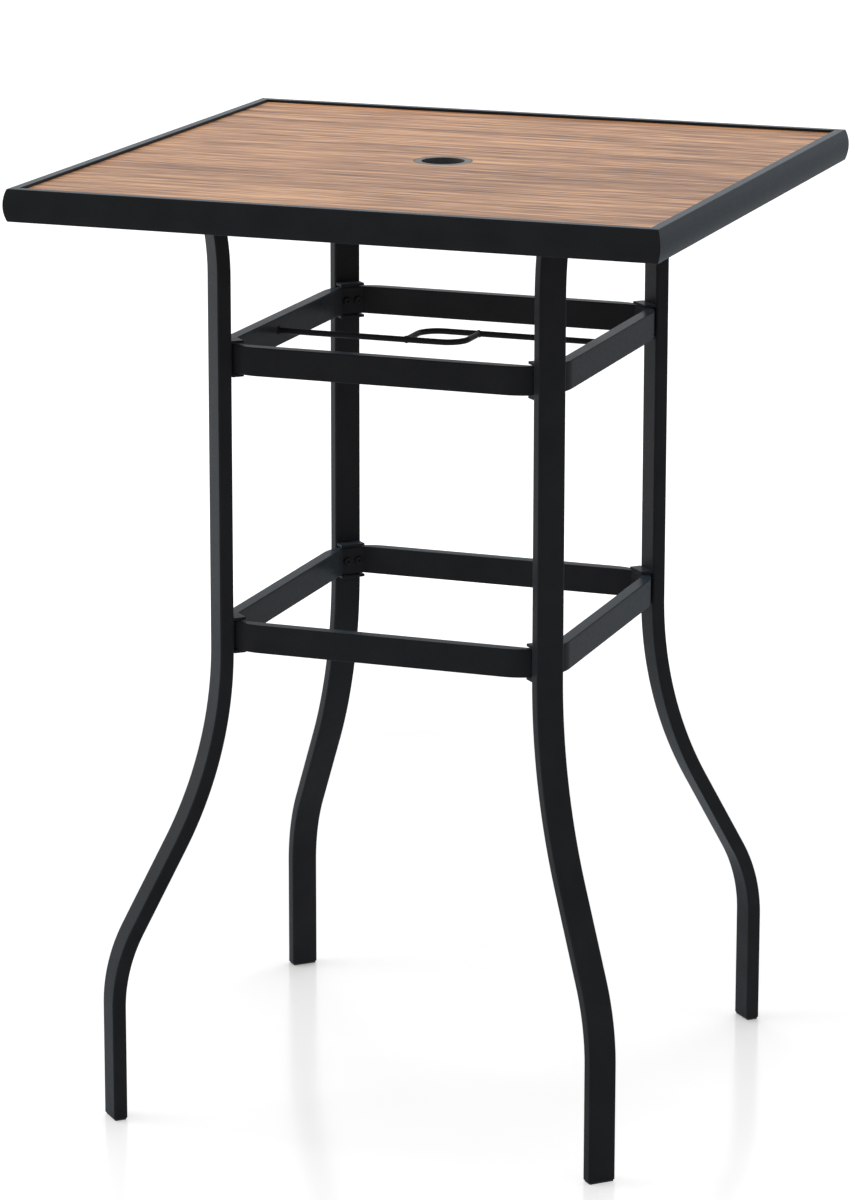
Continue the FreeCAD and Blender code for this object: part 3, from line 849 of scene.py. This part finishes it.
rail_low, rail_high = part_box("right_frame_rail")
half_width = rail_high.x
table_top = rail_high.z
rail_half = (rail_high.z - rail_low.z) / 2
rail_middle = table_top - rail_half
lip_outer = half_width - rail_bulge
lip_inner = lip_outer - lip_width
panel_top = table_top - panel_recess
ledge_top = panel_top - panel_thickness
ledge_bottom = ledge_top - ledge_thickness
swell = (rail_half ** 2 + rail_bulge ** 2) / (2 * rail_bulge)
swell_half = math.asin(rail_half / swell)
bulge_step = 2 * rail_half / bulge_steps
bulge = arc(half_width - swell, rail_middle, swell, swell_half, -swell_half, bulge_step)
rail_points = bulge + [
    (lip_inner, rail_low.z),
    (lip_inner, ledge_bottom),
    (lip_inner - ledge_depth, ledge_bottom),
    (lip_inner - ledge_depth, ledge_top),
    (lip_inner, ledge_top),
    (lip_inner, table_top),
]
rail_radii = [rail_edge] + [0] * (len(bulge) - 2)
rail_radii += [rail_edge, seam, 0, seam, seam, 0, lip_edge]
rail_section = rounded_corners(rail_points, rail_radii)
rail_loops = []
for inset, back in ((seam, 0.0), (0.0, seam)):
    section = drawn_in(rail_section, inset * seam_share)
    rail_loops.append([Vector((x, back - x, z)) for x, z in section])
rail_loops += [[Vector((x, -y, z)) for x, y, z in loop] for loop in reversed(rail_loops)]
for side, angle in sides.items():
    rail = skin(side + "_mitred_rail", powder_coat, turned(rail_loops, angle))
    finished(rail, "black_powder_coat", side + "_frame_rail")
for corner in corners:
    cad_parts[corner + "_corner_key"].material_slots[0].material = cast_aluminium


# Cross bars: two flat steel tubes from the front rail to the back rail, notched over the ledges.
# They carry the leg plates, each held up by two black button-head bolts in zinc-plated inserts.
bolt_spacing = 0.047
bolt_shank = 0.003
bolt_head = 0.0052
bolt_rise = 0.0032
bolt_socket = 0.004
bolt_length = 0.013
bolt_seed = 7
places = []
for corner in corners:
    low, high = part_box(corner + "_leg_plate")
    middle = (low + high) / 2
    for end in (-1, 1):
        spot = Vector((middle.x, middle.y + end * bolt_spacing / 2, low.z))
        places.append((spot, Vector((0, 0, 1))))
bolt = button_screw(
    "plate_bolt", bolt_shank, bolt_length, bolt_head, bolt_rise, bolt_socket, black_screw
)
bolts = driven_screws("leg_plate_button_bolts", bolt, places, black_screw, bolt_seed)
finished(bolts, "black_screws", "leg_plate_bolts")
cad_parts["leg_plate_inserts"].material_slots[0].material = zinc_steel
for side in ("left", "right"):
    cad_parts[side + "_cross_bar"].material_slots[0].material = powder_coat


# Panel: a square board faced with walnut on both sides, which drops into the frame from above.
# Its grain runs from left to right in fine straight streaks, and its satin lacquer shows a soft
# sheen. A round hole in the middle has a step for the flange of the pole liner.
panel_play = 0.0003
panel_edge = 0.0006
pole_hole = 0.023
liner_wall = 0.0025
liner_flange = 0.031
flange_thickness = 0.0016
panel_points = 160
sway_streaks = (1.6, 5.0)
sway_reach = 0.012
band_streaks = (2.6, 42.0)
line_streaks = (7.0, 170.0, 3.0, 0.70)
fibre_streaks = (34.0, 1100.0)
pore_streaks = (30.0, 1500.0, 1.0)
pore_range = (0.60, 0.72, 0.0, 0.5)
band_share, line_share = 0.24, 0.76
figure_share, fibre_share = 0.86, 0.14
wood_tints = [
    (0.40, (0.085, 0.035, 0.017)),
    (0.465, (0.240, 0.105, 0.045)),
    (0.53, (0.385, 0.181, 0.077)),
    (0.59, (0.600, 0.310, 0.143)),
]
pore_colour = (0.115, 0.046, 0.024, 1.0)
lacquer_roughness = (0.35, 0.65, 0.36, 0.28)
lacquer_gloss = 0.06
fibre_height, pore_height = 0.7, -0.5
wood_relief = (0.00003, 0.4)

walnut, tree, shader, where = new_finish("walnut_panel")


def streaks(tree, where, along, across, detail=2.0, roughness=0.5):
    """Noise drawn out along the grain; both sizes are in lumps to the metre."""
    wires = {"Vector": where, "Scale": (along, across, across)}
    stretched = place(tree, "ShaderNodeMapping", wires).outputs[0]
    return noise(tree, stretched, 1.0, detail, roughness)


sway = ranged(tree, streaks(tree, where, *sway_streaks), 0.0, 1.0, -sway_reach, sway_reach)
offset = place(tree, "ShaderNodeCombineXYZ", {"Y": sway}).outputs[0]
grain = place(tree, "ShaderNodeVectorMath", {0: where, 1: offset}, operation="ADD").outputs[0]
bands = streaks(tree, grain, *band_streaks)
lines = streaks(tree, grain, *line_streaks)
fibres = streaks(tree, grain, *fibre_streaks)
pores = ranged(tree, streaks(tree, grain, *pore_streaks), *pore_range)
figure = sum_of(tree, bands, band_share, lines, line_share)
figure = sum_of(tree, figure, figure_share, fibres, fibre_share)
wires = {0: pores, 6: ramp(tree, figure, wood_tints), 7: pore_colour}
wood_height = sum_of(tree, fibres, fibre_height, pores, pore_height)
wire(tree, shader, {
    "Base Color": place(tree, "ShaderNodeMix", wires, data_type="RGBA").outputs[2],
    "Roughness": ranged(tree, figure, *lacquer_roughness),
    "Specular IOR Level": lacquer_gloss,
    "Normal": relief(tree, wood_height, *wood_relief),
})

panel_half = lip_inner - panel_play
sleeve = pole_hole + liner_wall


def square_loop(height, half):
    """Level square loop with its points on rays from the middle."""
    def reach(angle):
        return half / max(abs(math.cos(angle)), abs(math.sin(angle)))
    return round_loop(height, reach, panel_points)


seat_floor = panel_top - flange_thickness
seat = liner_flange + panel_play
panel_loops = [
    round_loop(ledge_top, sleeve + panel_play, panel_points),
    round_loop(seat_floor, sleeve + panel_play, panel_points),
    round_loop(seat_floor, seat, panel_points),
    round_loop(panel_top - seam, seat, panel_points),
    round_loop(panel_top, seat + seam, panel_points),
]
for inset, sink in soft_edge(panel_edge):
    panel_loops.append(square_loop(panel_top - sink, panel_half - inset))
panel_loops.append(square_loop(ledge_top, panel_half))
panel = skin("walnut_board", walnut, panel_loops, joined=True)
finished(panel, "walnut_panel", "top_panel")


# Liner: a moulded black plastic sleeve that lines the pole hole and hangs a little below the panel.
# Its thin flange lies flush in the step of the hole.
liner_tail = 0.008
liner_edge = 0.0005
liner_points = 96
liner_bottom = ledge_top - liner_tail
liner_profile = [
    (pole_hole + liner_edge, liner_bottom),
    (sleeve - liner_edge, liner_bottom),
    (sleeve, liner_bottom + liner_edge),
    (sleeve, seat_floor),
    (liner_flange, seat_floor),
]
for inset, sink in reversed(soft_edge(liner_edge)):
    liner_profile.append((liner_flange - inset, panel_top - sink))
for inset, sink in soft_edge(liner_edge):
    liner_profile.append((pole_hole + inset, panel_top - sink))
liner_profile.append((pole_hole, liner_bottom + liner_edge))
liner_loops = [round_loop(height, radius, liner_points) for radius, height in liner_profile]
liner = skin("pole_liner", black_plastic, liner_loops, joined=True)
finished(liner, "black_plastic", "umbrella_liner")


# Panel screws: eight black pan-head wood screws with a cross recess, driven up through the ledge.
# They hold the panel down in the frame, two along each rail.
wood_screw_spacing = 0.500
wood_screw_shank = 0.00175
wood_screw_bite = 0.005
wood_screw_head = 0.0034
wood_screw_rise = 0.002
wood_screw_tip = 0.000175
wood_dome_steps = 5
wood_screw_seed = 8
cross_arm = 0.0018
cross_width = 0.0008
cross_depth = 0.0011


def cross(arm, width):
    """Reach of a cross recess at an angle."""
    def reach(angle):
        from_arm = (angle + math.pi / 4) % (math.pi / 2) - math.pi / 4
        return min(arm, width / 2 / max(abs(math.sin(from_arm)), width / 2 / arm))
    return reach


wood_loops = [
    round_loop(cross_depth - wood_screw_rise, cross(cross_arm / 2, cross_width)),
    round_loop(-wood_screw_rise, cross(cross_arm, cross_width)),
]
dome = wood_screw_rise * (1 - dome_share)
for inset, sink in soft_edge(dome, wood_dome_steps):
    wood_loops.append(round_loop(sink - wood_screw_rise, wood_screw_head - inset))
shank_end = ledge_thickness + wood_screw_bite
wood_loops += [
    round_loop(0.0, wood_screw_head),
    round_loop(0.0, wood_screw_shank),
    round_loop(shank_end - wood_screw_shank, wood_screw_shank),
    round_loop(shank_end, wood_screw_tip),
]
places = []
for angle in sides.values():
    for end in (-1, 1):
        spot = (lip_inner - ledge_depth / 2, end * wood_screw_spacing / 2, ledge_bottom)
        places.append((turned([[spot]], angle)[0][0], Vector((0, 0, 1))))
wood_screw = skin("wood_screw", black_screw, wood_loops)
wood_screws = driven_screws("panel_wood_screws", wood_screw, places, black_screw, wood_screw_seed)
finished(wood_screws, "black_screws", "panel_screws")


# Studio: a plain white floor that fades into a white world, and soft boxes high on the left and
# right, low on the left and above. The camera stands where the photograph was taken from, a little
# above the table and to its right.
white = (1.0, 1.0, 1.0, 1.0)
floor_half = 30.0
floor_colour = (0.80, 0.80, 0.80, 1.0)
floor_roughness = 0.16
floor_gloss = 0.30
glow_front = -1.0
glow_back = 1.5
glow_shares = ((-0.8, 0.62), (-0.4, 0.50), (0.0, 0.34), (0.4, 0.19), (1.2, 0.19))
glow_side = 0.5
glow_tilt = 0.05
glow_near = 1.1
glow_far = 2.2
far_glow = 0.65
mirrored_glow = 0.05
world_fill = 0.42
soft_boxes = {
    "left_box": ((-2.6, -0.9, 1.9), (0.0, 0.0, 0.6), 1.8, 22.0),
    "side_box": ((-1.8, 0.35, 0.84), (0.0, 0.35, 0.84), 1.6, 9.5),
    "right_box": ((2.8, 0.5, 1.9), (0.0, 0.0, 0.6), 1.8, 6.0),
    "top_box": ((-0.2, 1.2, 3.0), (0.0, 0.0, 0.9), 1.8, 48.0),
}
camera_place = Vector((1.661880, -4.598309, 1.781636))
camera_turn = math.radians(19.9923)
camera_tilt = math.radians(13.1490)
camera_roll = math.radians(0.0930)
photo_width = 855
photo_height = 1200
focal_pixels = 4658.346
middle_pixel = (432.688, 503.067)

shell = bmesh.new()
bmesh.ops.create_grid(shell, x_segments=2, y_segments=2, size=floor_half)
floor_mesh = bpy.data.meshes.new("floor")
shell.to_mesh(floor_mesh)
shell.free()
floor = added("floor", floor_mesh)
pale_floor, tree, shader, where = new_finish("pale_floor")


def seen_directly(tree, mirrored=1.0):
    """One for what the camera sees, a share for what shows in mirrors, and nought for light."""
    ray = place(tree, "ShaderNodeLightPath").outputs
    glossy = maths(tree, "MULTIPLY", ray["Is Glossy Ray"], mirrored)
    seen = maths(tree, "MAXIMUM", ray["Is Camera Ray"], glossy)
    return maths(tree, "MAXIMUM", seen, ray["Is Transmission Ray"])


spot = place(tree, "ShaderNodeSeparateXYZ", {"Vector": where}).outputs
depth = ranged(tree, spot["Y"], glow_front, glow_back, 0.0, 1.0)
glow_depth = glow_back - glow_front
stops = [((y - glow_front) / glow_depth, (share, share, share)) for y, share in glow_shares]
tilt = ranged(tree, spot["X"], -glow_side, glow_side, -glow_tilt, glow_tilt)
fill = maths(tree, "ADD", ramp(tree, depth, stops), tilt)
distance = place(tree, "ShaderNodeVectorMath", {0: where}, operation="LENGTH").outputs["Value"]
far_fill = ranged(tree, distance, glow_near, glow_far, 0.0, far_glow)
fill = maths(tree, "MAXIMUM", fill, far_fill)
wire(tree, shader, {
    "Base Color": floor_colour,
    "Roughness": floor_roughness,
    "Specular IOR Level": floor_gloss,
    "Emission Color": white,
    "Emission Strength": maths(tree, "MULTIPLY", seen_directly(tree, mirrored_glow), fill),
})
floor_mesh.materials.append(pale_floor)

world = bpy.data.worlds.new("white_studio")
bpy.context.scene.world = world
world.use_nodes = True
tree = world.node_tree
strength = ranged(tree, seen_directly(tree), 0.0, 1.0, world_fill, 1.0)
wire(tree, tree.nodes["Background"], {"Color": white, "Strength": strength})

for name, (spot, target, size, power) in soft_boxes.items():
    lamp = bpy.data.lights.new(name, "AREA")
    lamp.shape = "SQUARE"
    lamp.size = size
    lamp.energy = power
    box = added(name, lamp)
    box.location = spot
    box.rotation_euler = (Vector(target) - Vector(spot)).to_track_quat("-Z", "Y").to_euler()

back = Vector((
    math.sin(camera_turn) * math.cos(camera_tilt),
    -math.cos(camera_turn) * math.cos(camera_tilt),
    math.sin(camera_tilt),
))
right = Vector((math.cos(camera_turn), math.sin(camera_turn), 0.0))
up = back.cross(right)
rolled_right = right * math.cos(camera_roll) + up * math.sin(camera_roll)
rolled_up = up * math.cos(camera_roll) - right * math.sin(camera_roll)
view = bpy.data.cameras.new("photo_camera")
view.sensor_width = 36.0
view.lens = focal_pixels * view.sensor_width / photo_height
view.shift_x = (photo_width / 2 - middle_pixel[0]) / photo_height
view.shift_y = (middle_pixel[1] - photo_height / 2) / photo_height
camera = added("photo_camera", view)
aim = Matrix((rolled_right, rolled_up, back)).transposed().to_4x4()
camera.matrix_world = Matrix.Translation(camera_place) @ aim
bpy.context.scene.camera = camera
bpy.context.scene.view_settings.view_transform = "Standard"
